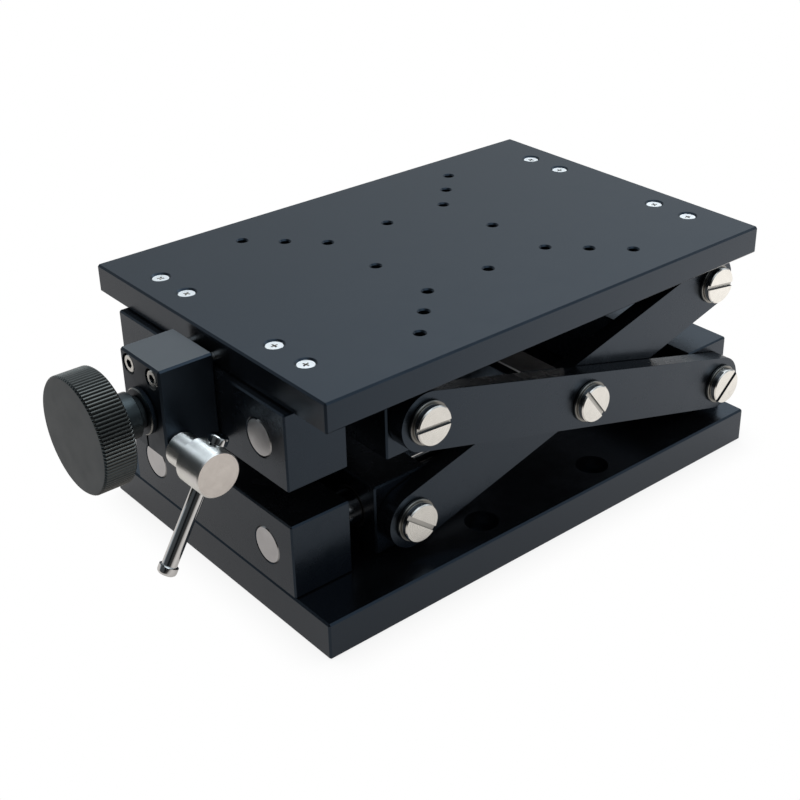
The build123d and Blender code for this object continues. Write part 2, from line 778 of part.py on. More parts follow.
centre_washers.part.label = "centre_washers"
export_step(centre_washers.part, "parts/centre_washers.step")
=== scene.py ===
import json
import math

import bmesh
import bpy
from mathutils import Matrix, Vector


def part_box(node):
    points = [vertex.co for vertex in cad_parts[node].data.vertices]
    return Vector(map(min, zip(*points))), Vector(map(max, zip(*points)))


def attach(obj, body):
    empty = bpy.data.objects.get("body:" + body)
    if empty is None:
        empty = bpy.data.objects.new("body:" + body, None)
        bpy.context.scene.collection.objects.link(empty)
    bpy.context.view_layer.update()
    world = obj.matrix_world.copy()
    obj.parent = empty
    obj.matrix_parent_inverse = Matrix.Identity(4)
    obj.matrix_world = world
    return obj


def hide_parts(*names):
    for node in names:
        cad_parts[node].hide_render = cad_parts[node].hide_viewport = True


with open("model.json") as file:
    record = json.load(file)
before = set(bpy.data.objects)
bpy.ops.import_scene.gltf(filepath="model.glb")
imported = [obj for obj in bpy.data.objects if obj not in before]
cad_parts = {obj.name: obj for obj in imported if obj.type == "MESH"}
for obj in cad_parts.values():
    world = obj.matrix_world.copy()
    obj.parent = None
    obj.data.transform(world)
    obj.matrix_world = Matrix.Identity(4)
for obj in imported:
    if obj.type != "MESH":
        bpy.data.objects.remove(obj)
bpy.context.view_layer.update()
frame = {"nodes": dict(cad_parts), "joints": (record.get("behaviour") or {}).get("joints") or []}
nodes = frame["nodes"]
mm = 0.001  # pieces are drawn in millimetres and become metres when they are placed
print("frame loaded:", len(nodes), "nodes")


# Selecting and placing

def clearSelection():
    if bpy.context.mode != "OBJECT":
        bpy.ops.object.mode_set(mode="OBJECT")
    bpy.ops.object.select_all(action="DESELECT")


def selectOnly(piece):
    clearSelection()
    piece.select_set(True)
    bpy.context.view_layer.objects.active = piece


def openForEditing(piece):
    selectOnly(piece)
    bpy.ops.object.mode_set(mode="EDIT")
    bpy.ops.mesh.select_mode(type="VERT")
    bpy.ops.mesh.select_all(action="DESELECT")


def pickVerts(piece, test):  # in edit mode: only the vertices that pass the test
    mesh = bmesh.from_edit_mesh(piece.data)
    for vert in mesh.verts:
        vert.select = test(vert.co)
    mesh.select_flush_mode()
    bmesh.update_edit_mesh(piece.data)


def closeEditing():
    bpy.ops.mesh.select_all(action="SELECT")
    bpy.ops.mesh.normals_make_consistent(inside=False)
    bpy.ops.object.mode_set(mode="OBJECT")


def applyModifier(piece, kind, **settings):
    selectOnly(piece)
    modifier = piece.modifiers.new("shape", kind)
    for key, value in settings.items():
        setattr(modifier, key, value)
    bpy.ops.object.modifier_apply(modifier=modifier.name)


def cutAway(piece, cutter):
    applyModifier(piece, "BOOLEAN", operation="DIFFERENCE", solver="EXACT", object=cutter)
    bpy.data.objects.remove(cutter)


def roundEdges(piece, width, segments=2, angle=32):
    applyModifier(
        piece, "BEVEL", width=width, segments=segments,
        limit_method="ANGLE", angle_limit=math.radians(angle),
    )


def smoothSides(piece, angle=32):
    selectOnly(piece)
    bpy.ops.object.shade_smooth_by_angle(angle=math.radians(angle))
    applyModifier(piece, "WEIGHTED_NORMAL", keep_sharp=True)


def rememberShape(piece):  # each point's own place before it is moved, for turning marks
    layer = piece.data.attributes.new("turnedPlace", "FLOAT_VECTOR", "POINT")
    for vert in piece.data.vertices:
        layer.data[vert.index].vector = vert.co


def finishTurned(piece, angle=32):
    rememberShape(piece)
    smoothSides(piece, angle)


def rememberAxis(piece, axis):  # the line that the piece was turned about, after it is moved
    layer = piece.data.attributes.new("turnAxis", "FLOAT_VECTOR", "POINT")
    for vert in piece.data.vertices:
        layer.data[vert.index].vector = axis


def placePiece(piece, origin, alongX, alongZ):
    xAxis = Vector(alongX).normalized()
    zAxis = Vector(alongZ).normalized()
    rememberAxis(piece, zAxis)
    turn = Matrix((xAxis, zAxis.cross(xAxis), zAxis)).transposed().to_4x4()
    piece.matrix_world = Matrix.Translation(origin) @ turn @ Matrix.Scale(mm, 4)
    selectOnly(piece)
    bpy.ops.object.transform_apply(location=True, rotation=True, scale=True)


def copyPiece(piece, name):
    twin = piece.copy()
    twin.data = piece.data.copy()
    twin.name = name
    bpy.context.scene.collection.objects.link(twin)
    return twin


def joinPieces(pieces, name):
    clearSelection()
    for piece in pieces:
        piece.select_set(True)
    bpy.context.view_layer.objects.active = pieces[0]
    if len(pieces) > 1:
        bpy.ops.object.join()
    pieces[0].name = name
    return pieces[0]


def fitPiece(piece, body, slotName, material, *stoodFor):
    piece.data.materials.clear()
    piece.data.materials.append(material)
    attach(piece, body)
    if stoodFor:
        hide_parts(*stoodFor)


def paintFaces(piece, material, test):  # a second finish on the faces that pass the test
    piece.data.materials.append(material)
    for face in piece.data.polygons:
        if test(face):
            face.material_index = len(piece.data.materials) - 1


def paintInside(piece, material, test):  # the same, by the place that each face was turned at
    stored = piece.data.attributes["turnedPlace"].data
    places = [Vector(point.vector) for point in stored]
    paintFaces(piece, material, lambda face: test(
        sum((places[vert] for vert in face.vertices), Vector()) / len(face.vertices)
    ))


def middleOf(node):
    low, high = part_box(node)
    return (low + high) / 2


# Turning and boring

seamGap = 0.0005  # points of a closed profile that lie nearer than this are one


def turnProfile(name, profile, sides, fill):  # a profile is (radius, height) from the back end on
    clearSelection()
    radius, height = profile[0]
    bpy.ops.mesh.primitive_circle_add(
        vertices=sides, radius=radius, fill_type=fill, location=(0, 0, height),
    )
    piece = bpy.context.active_object
    piece.name = name
    bpy.ops.object.transform_apply(location=True, rotation=False, scale=False)
    bpy.ops.object.mode_set(mode="EDIT")
    bpy.ops.mesh.select_mode(type="VERT")
    bpy.ops.mesh.select_all(action="SELECT")
    for nextRadius, nextHeight in profile[1:]:
        bpy.ops.mesh.extrude_region_move(
            TRANSFORM_OT_translate={"value": (0, 0, nextHeight - height)},
        )
        grow = nextRadius / radius
        bpy.ops.transform.resize(value=(grow, grow, 1), center_override=(0, 0, 0))
        radius, height = nextRadius, nextHeight
    return piece


def turnPiece(name, profile, sides=64):
    piece = turnProfile(name, profile, sides, "NGON")
    closeEditing()
    return piece


def turnRing(name, profile, sides=96):  # the profile is closed, so the piece has a bore
    piece = turnProfile(name, profile + profile[:1], sides, "NOTHING")
    bpy.ops.mesh.select_all(action="SELECT")
    bpy.ops.mesh.remove_doubles(threshold=seamGap)
    closeEditing()
    return piece


def makeWasher(name, shape):
    outer, bore, rim = shape["outerRadius"], shape["boreRadius"], shape["rim"]
    thickness = shape["thickness"]
    washer = turnRing(name, [
        (bore, 0), (bore, thickness), (outer - rim, thickness),
        (outer, thickness - rim), (outer, rim), (outer - rim, 0),
    ])
    finishTurned(washer)
    return washer


def makeSleeve(name, shape, length):
    outer, bore, chamfer = shape["outerRadius"], shape["boreRadius"], shape["chamfer"]
    sleeve = turnRing(name, [
        (bore + chamfer, 0), (bore, chamfer), (bore, length - chamfer),
        (bore + chamfer, length), (outer, length), (outer, 0),
    ])
    finishTurned(sleeve)
    return sleeve


def drillBar(radius, length, origin, axis, sides=48):  # a round cutter through a point
    clearSelection()
    bpy.ops.mesh.primitive_cylinder_add(vertices=sides, radius=radius, depth=length)
    drill = bpy.context.active_object
    turn = Vector(axis).to_track_quat("Z", "Y").to_matrix().to_4x4()
    drill.matrix_world = Matrix.Translation(origin) @ turn
    return drill


# Materials

def feed(tree, socket, value):  # links another socket, or sets a number, a vector or a colour
    if isinstance(value, bpy.types.NodeSocket):
        tree.links.new(value, socket)
    elif socket.type == "RGBA":
        socket.default_value = (*value, 1)
    else:
        socket.default_value = value


def setInputs(tree, node, inputs):
    for key, value in inputs.items():
        feed(tree, node.inputs[key], value)


def addNode(tree, kind, inputs=None, **settings):
    node = tree.nodes.new(kind)
    for key, value in settings.items():
        setattr(node, key, value)
    setInputs(tree, node, inputs or {})
    return node


def startMaterial(name, metallic):
    material = bpy.data.materials.new(name)
    material.use_nodes = True
    shader = material.node_tree.nodes["Principled BSDF"]
    shader.inputs["Metallic"].default_value = metallic
    return material, material.node_tree, shader


def addNoise(tree, place, scale, detail=3.0, roughness=0.5):
    noise = addNode(tree, "ShaderNodeTexNoise", {
        "Vector": place, "Scale": scale, "Detail": detail, "Roughness": roughness,
    })
    return noise.outputs["Fac"]


def spread(tree, source, low, high, fromLow=0.3, fromHigh=0.7):
    remap = addNode(tree, "ShaderNodeMapRange", {
        "Value": source, "From Min": fromLow, "From Max": fromHigh, "To Min": low, "To Max": high,
    })
    return remap.outputs["Result"]


mixSockets = {"FLOAT": (2, 3, 0), "RGBA": (6, 7, 2)}  # a Mix node's two inputs and its output


def blend(tree, kind, factor, first, second):
    firstInput, secondInput, result = mixSockets[kind]
    mix = addNode(
        tree, "ShaderNodeMix", {0: factor, firstInput: first, secondInput: second}, data_type=kind,
    )
    return mix.outputs[result]


def combine(tree, operation, first, second):
    return addNode(tree, "ShaderNodeMath", {0: first, 1: second}, operation=operation).outputs[0]


def combineVectors(tree, operation, *vectors):
    node = addNode(tree, "ShaderNodeVectorMath", dict(enumerate(vectors)), operation=operation)
    return node.outputs["Vector" if operation == "CROSS_PRODUCT" else "Value"]


def partsOf(tree, vector):
    return addNode(tree, "ShaderNodeSeparateXYZ", {0: vector}).outputs


def addBump(tree, shader, height, strength, distance):
    bump = addNode(tree, "ShaderNodeBump", {
        "Height": height, "Strength": strength, "Distance": distance,
    })
    feed(tree, shader.inputs["Normal"], bump.outputs["Normal"])


anodised = {  # what a black finish takes where its own look says nothing else
    "darkTone": (0.0022, 0.0026, 0.0034),
    "paleTone": (0.0040, 0.0046, 0.0056),
    "glossTint": (0.50, 0.72, 1.0),
    "glossLevel": 0.56,
    "cloudScale": 38,
    "patchScale": 152,
    "patchDetail": 4.0,
    "grainScale": 4200,
    "grainDetail": 2.0,
    "grainDepth": 0.00004,
    "topRange": (0.8, 0.95),
}
coarse = 0.6  # the roughness of the noise that draws grain and turning marks


def blackAnodised(name, ownLook):
    look = {**anodised, **ownLook}
    material, tree, shader = startMaterial(name, 0.0)
    place = addNode(tree, "ShaderNodeTexCoord").outputs["Object"]
    clouds = spread(tree, addNoise(tree, place, look["cloudScale"]), 0, 1)
    tone = blend(tree, "RGBA", clouds, look["darkTone"], look["paleTone"])
    if "paintedTopLightTone" in look:  # painted light: the face that looks up is painted paler, for the brighter light that falls on it
        facing = addNode(tree, "ShaderNodeNewGeometry").outputs["True Normal"]
        looksUp = spread(tree, partsOf(tree, facing)["Z"], 0, 1, *look["topRange"])
        tone = blend(tree, "RGBA", looksUp, tone, look["paintedTopLightTone"])
    patches = addNoise(tree, place, look["patchScale"], look["patchDetail"])
    setInputs(tree, shader, {
        "Base Color": tone,
        "Roughness": spread(tree, patches, *look["rough"]),
        "Specular Tint": look["glossTint"],
        "Specular IOR Level": look["glossLevel"],
    })
    grain = addNoise(tree, place, look["grainScale"], look["grainDetail"], coarse)
    addBump(tree, shader, grain, look["grain"], look["grainDepth"])
    return material


turned = {
    "sideRange": (0.35, 0.8),  # sine of the angle between normal and axis: 0 on flats, 1 on sides
    "cloudScale": 0.35,
    "cloudGain": 1.1,
    "markStrength": 0.3,
}


def turnedMetal(name, look):  # flat faces and turned sides of one piece take their own finish, and on some pieces their own tone as painted light or shade
    material, tree, shader = startMaterial(name, 1.0)
    axis = addNode(
        tree, "ShaderNodeVectorTransform",
        {0: addNode(tree, "ShaderNodeAttribute", attribute_name="turnAxis").outputs["Vector"]},
        vector_type="VECTOR", convert_from="OBJECT", convert_to="WORLD",
    ).outputs[0]
    facing = addNode(tree, "ShaderNodeNewGeometry").outputs["True Normal"]
    sine = combineVectors(tree, "LENGTH", combineVectors(tree, "CROSS_PRODUCT", axis, facing))
    onSide = spread(tree, sine, 0, 1, *turned["sideRange"])
    place = addNode(tree, "ShaderNodeAttribute", attribute_name="turnedPlace").outputs["Vector"]
    parts = partsOf(tree, place)
    flat = addNode(tree, "ShaderNodeCombineXYZ", {"X": parts["X"], "Y": parts["Y"]}).outputs[0]
    rings = addNode(tree, "ShaderNodeCombineXYZ", {  # distance from the axis, and height along it
        "X": combineVectors(tree, "LENGTH", flat), "Y": parts["Z"],
    }).outputs[0]
    marks = addNoise(tree, rings, look["markScale"], roughness=coarse)
    clouds = spread(tree, addNoise(tree, place, turned["cloudScale"]), 0, 1)
    face, side = (
        blend(tree, "RGBA", clouds, tone, tuple(turned["cloudGain"] * part for part in tone))
        for tone in (look["faceTone"], look["sideTone"])
    )
    faceRough, sideRough = (
        spread(tree, marks, *rough) for rough in (look["faceRough"], look["sideRough"])
    )
    setInputs(tree, shader, {
        "Base Color": blend(tree, "RGBA", onSide, face, side),
        "Roughness": blend(tree, "FLOAT", onSide, faceRough, sideRough),
        "Anisotropic": combine(tree, "MULTIPLY", onSide, look["sideSpread"]),
        "Tangent": axis,
    })
    addBump(tree, shader, marks, turned["markStrength"], look["markDepth"])
    return material


def plainSurface(name, tone, rough, speckScale=900):
    material, tree, shader = startMaterial(name, 0.0)
    place = addNode(tree, "ShaderNodeTexCoord").outputs["Object"]
    setInputs(tree, shader, {
        "Base Color": tone,
        "Roughness": spread(tree, addNoise(tree, place, speckScale), *rough),
    })
    return material


metals = {
    "nickelScrew": {
        "faceTone": (0.70, 0.70, 0.67), "faceRough": (0.22, 0.34),
        "sideTone": (0.70, 0.68, 0.65), "sideRough": (0.14, 0.22), "sideSpread": 0.3,
        "markScale": 5.0, "markDepth": 0.00001,
    },
    # painted light: the countersunk heads' faces are paler than nickel, for the light they catch
    # from above
    "blockScrewNickel": {
        "faceTone": (0.96, 0.96, 0.95), "faceRough": (0.36, 0.46),
        "sideTone": (0.70, 0.69, 0.67), "sideRough": (0.25, 0.34), "sideSpread": 0.0,
        "markScale": 5.0, "markDepth": 0.00001,
    },
    # painted shade: the rods' sides are darker than their ends, for the dark surroundings they
    # reflect
    "groundRodSteel": {
        "faceTone": (0.58, 0.58, 0.59), "faceRough": (0.32, 0.40),
        "sideTone": (0.26, 0.26, 0.26), "sideRough": (0.10, 0.16), "sideSpread": 0.3,
        "markScale": 6.0, "markDepth": 0.000006,
    },
    # painted light: the chrome's turned sides are paler than its face, for the overhead light they
    # catch
    "turnedChrome": {
        "faceTone": (0.63, 0.60, 0.57), "faceRough": (0.16, 0.26),
        "sideTone": (0.92, 0.93, 0.91), "sideRough": (0.38, 0.46), "sideSpread": 0.96,
        "markScale": 4.0, "markDepth": 0.000006,
    },
    "polishedBar": {
        "faceTone": (0.66, 0.67, 0.66), "faceRough": (0.12, 0.20),
        "sideTone": (0.74, 0.75, 0.75), "sideRough": (0.07, 0.11), "sideSpread": 0.0,
        "markScale": 4.0, "markDepth": 0.000003,
    },
    "washerSteel": {
        "faceTone": (0.19, 0.19, 0.18), "faceRough": (0.28, 0.38),
        "sideTone": (0.20, 0.20, 0.19), "sideRough": (0.20, 0.28), "sideSpread": 0.0,
        "markScale": 5.0, "markDepth": 0.00001,
    },
    "slotShade": {
        "faceTone": (0.44, 0.44, 0.42), "faceRough": (0.34, 0.44),
        "sideTone": (0.16, 0.16, 0.15), "sideRough": (0.34, 0.44), "sideSpread": 0.0,
        "markScale": 5.0, "markDepth": 0.00001,
    },
    "bearingBronze": {
        "faceTone": (0.42, 0.25, 0.10), "faceRough": (0.28, 0.42),
        "sideTone": (0.42, 0.25, 0.10), "sideRough": (0.28, 0.42), "sideSpread": 0.0,
        "markScale": 5.0, "markDepth": 0.00001,
    },
}
blacks = {
    "blackAnodisedPlate": {"rough": (0.20, 0.26), "grain": 0.25},
    "blackAnodisedBlock": {"rough": (0.22, 0.30), "grain": 0.30},
    # painted light: the drive block's top face is painted paler than its sides
    "blackDrivePaintedLitTop": {
        "rough": (0.36, 0.46), "grain": 0.30, "paintedTopLightTone": (0.125, 0.135, 0.140),
    },
    "blackTurnedFace": {
        "rough": (0.28, 0.36), "grain": 0.35, "glossTint": (0.22, 0.50, 0.68), "glossLevel": 0.50,
    },
    "blackKnurl": {
        "rough": (0.24, 0.32), "grain": 0.20, "glossTint": (0.96, 1.0, 0.94), "glossLevel": 0.84,
    },
    "blackHub": {
        "rough": (0.28, 0.36), "grain": 0.25, "glossTint": (0.70, 0.86, 0.92), "glossLevel": 0.58,
    },
    "blackTie": {"rough": (0.46, 0.56), "grain": 0.30, "glossLevel": 0.18},
    "blackOxideSteel": {"rough": (0.34, 0.46), "grain": 0.25},
}
blackPlate, blackBlock, blackDrive, blackKnob, blackKnurl, blackHub, blackTie, blackSteel = (
    blackAnodised(name, look) for name, look in blacks.items()
)
nickelScrew, blockNickel, rodSteel, turnedChrome, polishedBar, washerSteel, slotShade, bronze = (
    turnedMetal(name, look) for name, look in metals.items()
)
bearingPolymer = plainSurface("darkBearingPolymer", (0.006, 0.006, 0.006), (0.4, 0.55))
# painted highlight: a pale surface laid on the tie plate's edges for the light they catch
edgeHighlightPaint = plainSurface("paintedEdgeHighlight", (0.80, 0.81, 0.83), (0.4, 0.5))
print("materials ready")

# Carried-over pieces: each keeps its shape and gets its finish

finishes = {
    "base_plate": blackPlate,
    "table_plate": blackPlate,
    "lower_end_block": blackBlock,
    "upper_end_block": blackBlock,
    "lower_hinge_block": blackBlock,
    "upper_hinge_block": blackBlock,
    "lower_slider_block": blackBlock,
    "upper_slider_block": blackBlock,
    "drive_block": blackDrive,
    "knob_grub_screw": blackSteel,
}
for nodeName, material in finishes.items():
    for holder in nodes[nodeName].material_slots:
        holder.material = material
print("plates and blocks finished")

# Slotted pivot screws with their washers

pivotScrew = {
    "threadRadius": 3.0,
    "shoulderRadius": 4.0,
    "shoulderLength": 7.5,
    "threadLength": 4.5,
    "headRadius": 6.3,
    "headHeight": 2.4,
    "rim": 0.35,
    "headBreak": 0.2,
    "endBreak": 0.3,
    "slotWidth": 1.5,
    "slotDepth": 0.8,
    "slotReach": 6.0,  # distance from the axis within which the slot's faces are looked for
    "edge": 0.12,
}
pivotWasher = {"outerRadius": 7.0, "boreRadius": 4.08, "thickness": 1.0, "rim": 0.15}
pivotSlots = {  # which way each slot points, and the body its screws turn with
    "lower_hinge": (42, "base"),
    "upper_hinge": (-8.5, "table"),
    "lower_slider": (-39, "lower_slider"),
    "upper_slider": (-4, "upper_slider"),
    "centre": (-53, "inner_arms"),
}


def makePivotScrew():
    p = pivotScrew
    neck = -p["headHeight"]
    seat = neck - p["shoulderLength"]
    screw = turnPiece("pivotScrew", [
        (p["threadRadius"] - p["endBreak"], seat - p["threadLength"]),
        (p["threadRadius"], seat - p["threadLength"] + p["endBreak"]),
        (p["threadRadius"], seat),
        (p["shoulderRadius"], seat),
        (p["shoulderRadius"], neck),
        (p["headRadius"] - p["headBreak"], neck),
        (p["headRadius"], neck + p["headBreak"]),
        (p["headRadius"], -p["rim"]),
        (p["headRadius"] - p["rim"], 0),
    ], 96)
    clearSelection()
    bpy.ops.mesh.primitive_cube_add(size=1)
    slot = bpy.context.active_object
    slot.scale = (4 * p["headRadius"], p["slotWidth"], 2 * p["slotDepth"])
    cutAway(screw, slot)
    roundEdges(screw, p["edge"])
    finishTurned(screw)
    return screw


skin = 0.1  # how far a painted recess starts below its mouth and reaches past its floor


def inRecess(place, mouth, depth, reach):
    return math.hypot(place.x, place.y) < reach and mouth - depth - skin < place.z < mouth - skin


def inSlot(place):
    p = pivotScrew
    across = abs(place.y) < (p["slotWidth"] + skin) / 2
    return across and inRecess(place, 0, p["slotDepth"], p["slotReach"])


def onSlotWall(place):
    return inSlot(place) and place.z > 2 * skin - pivotScrew["slotDepth"]


screwPattern = makePivotScrew()
washerPattern = makeWasher("pivotWasher", pivotWasher)
for pivotName, (slotAngle, body) in pivotSlots.items():
    turn = math.radians(slotAngle)
    screws = []
    washers = []
    screwLow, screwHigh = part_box(pivotName + "_screws")
    washerLow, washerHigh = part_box(pivotName + "_washers")
    centre = middleOf(pivotName + "_screws")
    for side, headFace, washerFace in (
        (-1, screwLow.y, washerLow.y),
        (1, screwHigh.y, washerHigh.y),
    ):
        screw = copyPiece(screwPattern, pivotName + "Screw")
        placePiece(
            screw, (centre.x, headFace, centre.z),
            (math.cos(turn), 0, math.sin(turn)), (0, side, 0),
        )
        screws.append(screw)
        washer = copyPiece(washerPattern, pivotName + "Washer")
        inner = washerFace - side * pivotWasher["thickness"] * mm
        placePiece(washer, (centre.x, inner, centre.z), (1, 0, 0), (0, side, 0))
        washers.append(washer)
    group = joinPieces(screws, pivotName + "SlottedScrews")
    fitPiece(group, body, "bright_steel", nickelScrew, pivotName + "_screws")
    # painted shade: the slot's floor takes a darker metal and its walls black steel, for the shade
    # inside the slot
    paintInside(group, slotShade, inSlot)
    paintInside(group, blackSteel, onSlotWall)
    group = joinPieces(washers, pivotName + "Washers")
    fitPiece(group, body, "bright_steel", washerSteel, pivotName + "_washers")
bpy.data.objects.remove(screwPattern)
bpy.data.objects.remove(washerPattern)
print("pivot screws and washers made")

# Countersunk screws with a cross recess, in the table and under the base

blockScrew = {
    "shankRadius": 1.5,
    "headRadius": 2.7,
    "headBreak": 0.05,
    "endBreak": 0.3,
    "sink": 0.5,
    "crossLength": 3.1,
    "crossWidth": 0.8,
    "crossDepth": 1.5,
    "crossTaper": 0.45,
    "crossReach": 1.8,
    "edge": 0.06,
    "rowGap": 15.0,
    "firstTurn": 17,
    "turnStep": 37,
}


def makeBlockScrew(length):
    b = blockScrew
    top = -b["sink"]
    under = top - (b["headRadius"] - b["shankRadius"])
    screw = turnPiece("blockScrew", [
        (b["shankRadius"] - b["endBreak"], top - length),
        (b["shankRadius"], top - length + b["endBreak"]),
        (b["shankRadius"], under),
        (b["headRadius"] - b["headBreak"], top - b["headBreak"]),
        (b["headRadius"] - 2 * b["headBreak"], top),
    ])
    for angle in (0, 90):
        clearSelection()
        bpy.ops.mesh.primitive_cube_add(size=1)
        blade = bpy.context.active_object
        blade.scale = (b["crossLength"], b["crossWidth"], 2 * b["crossDepth"])
        blade.rotation_euler = (0, 0, math.radians(angle))
        blade.location = (0, 0, top)
        openForEditing(blade)
        pickVerts(blade, lambda co: co.z < 0)  # the recess narrows towards its floor
        bpy.ops.transform.resize(
            value=(b["crossTaper"], b["crossTaper"], 1), center_override=blade.location,
        )
        closeEditing()
        cutAway(screw, blade)
    roundEdges(screw, b["edge"])
    finishTurned(screw)
    return screw


def inCross(place):
    return inRecess(place, -blockScrew["sink"], blockScrew["crossDepth"], blockScrew["crossReach"])


for nodeName, body, faceUp, groupName in (
    ("table_screws", "table", 1, "tableCrossScrews"),
    ("base_screws", "base", -1, "baseCrossScrews"),
):
    low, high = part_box(nodeName)
    headEdge = blockScrew["headRadius"] * mm
    face = (high.z if faceUp > 0 else low.z) + faceUp * blockScrew["sink"] * mm
    pattern = makeBlockScrew((high.z - low.z) / mm)
    rows = [high.y - headEdge, high.y - headEdge - blockScrew["rowGap"] * mm]
    screws = []
    for count, (x, row, side) in enumerate(
        (x, row, side)
        for x in (low.x + headEdge, high.x - headEdge)
        for row in rows
        for side in (-1, 1)
    ):
        turn = math.radians(blockScrew["firstTurn"] + blockScrew["turnStep"] * count)
        screw = copyPiece(pattern, "crossScrew")
        along = (math.cos(turn), math.sin(turn), 0)
        placePiece(screw, (x, side * row, face), along, (0, 0, faceUp))
        screws.append(screw)
    bpy.data.objects.remove(pattern)
    group = joinPieces(screws, groupName)
    fitPiece(group, body, "bright_steel", blockNickel, nodeName)
    # painted shade: the cross recess takes a darker nickel than the head, for the shade inside it
    paintInside(group, nickelScrew, inCross)
print("countersunk screws made")

# Scissor arms

armShape = {
    "width": 19.0,
    "thickness": 6.0,
    "endBore": 4.05,
    "threadBore": 3.05,
    "edge": 0.4,
    "roundFrom": 60,  # degrees between faces from which an edge is rounded
    "roundSides": 96,
    "boreSides": 64,
}


def makeArm(name, pitch, middleBore):
    a = armShape
    clearSelection()
    bpy.ops.mesh.primitive_circle_add(
        vertices=a["roundSides"], radius=a["width"] / 2, fill_type="NGON",
    )
    arm = bpy.context.active_object
    arm.name = name
    openForEditing(arm)
    for end in (-1, 1):
        pickVerts(arm, lambda co: co.x * end > 1e-4)
        bpy.ops.transform.translate(value=(end * pitch / 2, 0, 0))
    bpy.ops.mesh.select_all(action="SELECT")
    bpy.ops.mesh.extrude_region_move(TRANSFORM_OT_translate={"value": (0, 0, a["thickness"])})
    closeEditing()
    for x, bore in ((-pitch / 2, a["endBore"]), (0, middleBore), (pitch / 2, a["endBore"])):
        middle = (x, 0, a["thickness"] / 2)
        cutAway(arm, drillBar(bore, 4 * a["thickness"], middle, (0, 0, 1), a["boreSides"]))
    roundEdges(arm, a["edge"], 2, a["roundFrom"])
    smoothSides(arm)
    return arm


for body, bore, firstPivot, lastPivot in (
    ("outer_arms", armShape["endBore"], "upper_slider", "lower_hinge"),
    ("inner_arms", armShape["threadBore"], "lower_slider", "upper_hinge"),
):
    start = middleOf(firstPivot + "_screws")
    end = middleOf(lastPivot + "_screws")
    along = Vector((end.x - start.x, 0, end.z - start.z))
    for where, side in (("near", -1), ("far", 1)):
        nodeName = body[:-1] + "_" + where
        low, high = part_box(nodeName)
        face = high.y if side < 0 else low.y
        arm = makeArm(body[:-5] + "Arm" + where.capitalize(), along.length / mm, bore)
        placePiece(arm, ((start.x + end.x) / 2, face, (start.z + end.z) / 2), along, (0, side, 0))
        fitPiece(arm, body, "black_anodised", blackBlock, nodeName)
print("arms made")

# Tie plate between the outer arms, with painted highlights along its edges

tiePlate = {
    "width": 16.8,
    "thickness": 3.0,
    "edge": 0.4,
    "strip": 0.35,
    "upFrom": 0.1,  # parts of a face's normal that tell the bright strips from the rest
    "endFrom": 0.3,
    "leftFrom": 0.4,
    "besideFrom": 6.72,
    "widestStrip": 80.0,
}


def makeTiePlate():
    low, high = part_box("tie_plate")
    hinge, slider = middleOf("lower_hinge_screws"), middleOf("upper_slider_screws")
    along = Vector((slider.x - hinge.x, 0, slider.z - hinge.z))
    clearSelection()
    bpy.ops.mesh.primitive_cube_add(size=1)
    plate = bpy.context.active_object
    plate.name = "tiePlate"
    plate.scale = (tiePlate["width"], (high.y - low.y) / mm, tiePlate["thickness"])
    bpy.ops.object.transform_apply(location=False, rotation=False, scale=True)
    roundEdges(plate, tiePlate["edge"], 1)
    openForEditing(plate)
    bpy.ops.mesh.select_mode(type="FACE")
    mesh = bmesh.from_edit_mesh(plate.data)
    for face in mesh.faces:  # a narrow strip along the upper face's edges, to take the painted highlight
        face.select = face.normal.z > 0.99
    bmesh.update_edit_mesh(plate.data)
    bpy.ops.mesh.inset(thickness=tiePlate["strip"], depth=0)
    closeEditing()
    placePiece(plate, middleOf("tie_plate"), along, along.cross(Vector((0, 1, 0))))
    return plate


tieMiddle = middleOf("tie_plate")


def onLongEdge(face):  # the left chamfer, and the strip and chamfer along the right edge, which take the painted highlight
    t = tiePlate
    upwards = face.normal.z > t["upFrom"] and abs(face.normal.y) < t["endFrom"]
    aside = (face.center.x - tieMiddle.x) / mm
    beside = aside > t["besideFrom"] or (aside < 0 and face.normal.x < -t["leftFrom"])
    return upwards and beside and face.area < t["widestStrip"] * mm * mm


tie = makeTiePlate()
fitPiece(tie, "outer_arms", "black_anodised", blackTie, "tie_plate")
paintFaces(tie, edgeHighlightPaint, onLongEdge)
print("tie plate made")

# Guide rods and their bushes

guideRod = {"radius": 6.0, "chamfer": 0.45}
guideBush = {"outerRadius": 7.0, "boreRadius": 6.05, "chamfer": 0.3}
for level, sliderName in (("lower", "lower_slider"), ("upper", "upper_slider")):
    low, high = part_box(level + "_rods")
    length = (high.x - low.x) / mm
    rods = []
    for y in (low.y + guideRod["radius"] * mm, high.y - guideRod["radius"] * mm):
        r, c = guideRod["radius"], guideRod["chamfer"]
        rod = turnPiece("rod", [(r - c, 0), (r, c), (r, length - c), (r - c, length)], 96)
        finishTurned(rod)
        placePiece(rod, (high.x, y, (low.z + high.z) / 2), (0, 1, 0), (-1, 0, 0))
        rods.append(rod)
    body = "base" if level == "lower" else "table"
    fitPiece(joinPieces(rods, level + "GuideRods"), body, "ground_steel", rodSteel, level + "_rods")
    low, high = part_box(level + "_bushes")
    length = (high.x - low.x) / mm
    bushes = []
    for y in (low.y + guideBush["outerRadius"] * mm, high.y - guideBush["outerRadius"] * mm):
        bush = makeSleeve("bush", guideBush, length)
        placePiece(bush, (high.x, y, (low.z + high.z) / 2), (0, 1, 0), (-1, 0, 0))
        bushes.append(bush)
    fitPiece(
        joinPieces(bushes, level + "BearingBushes"), sliderName, "bearing_polymer", bearingPolymer,
        level + "_bushes",
    )
print("guide rods made")

# Lead screw with its trapezoidal thread, and the nut in the upper slider

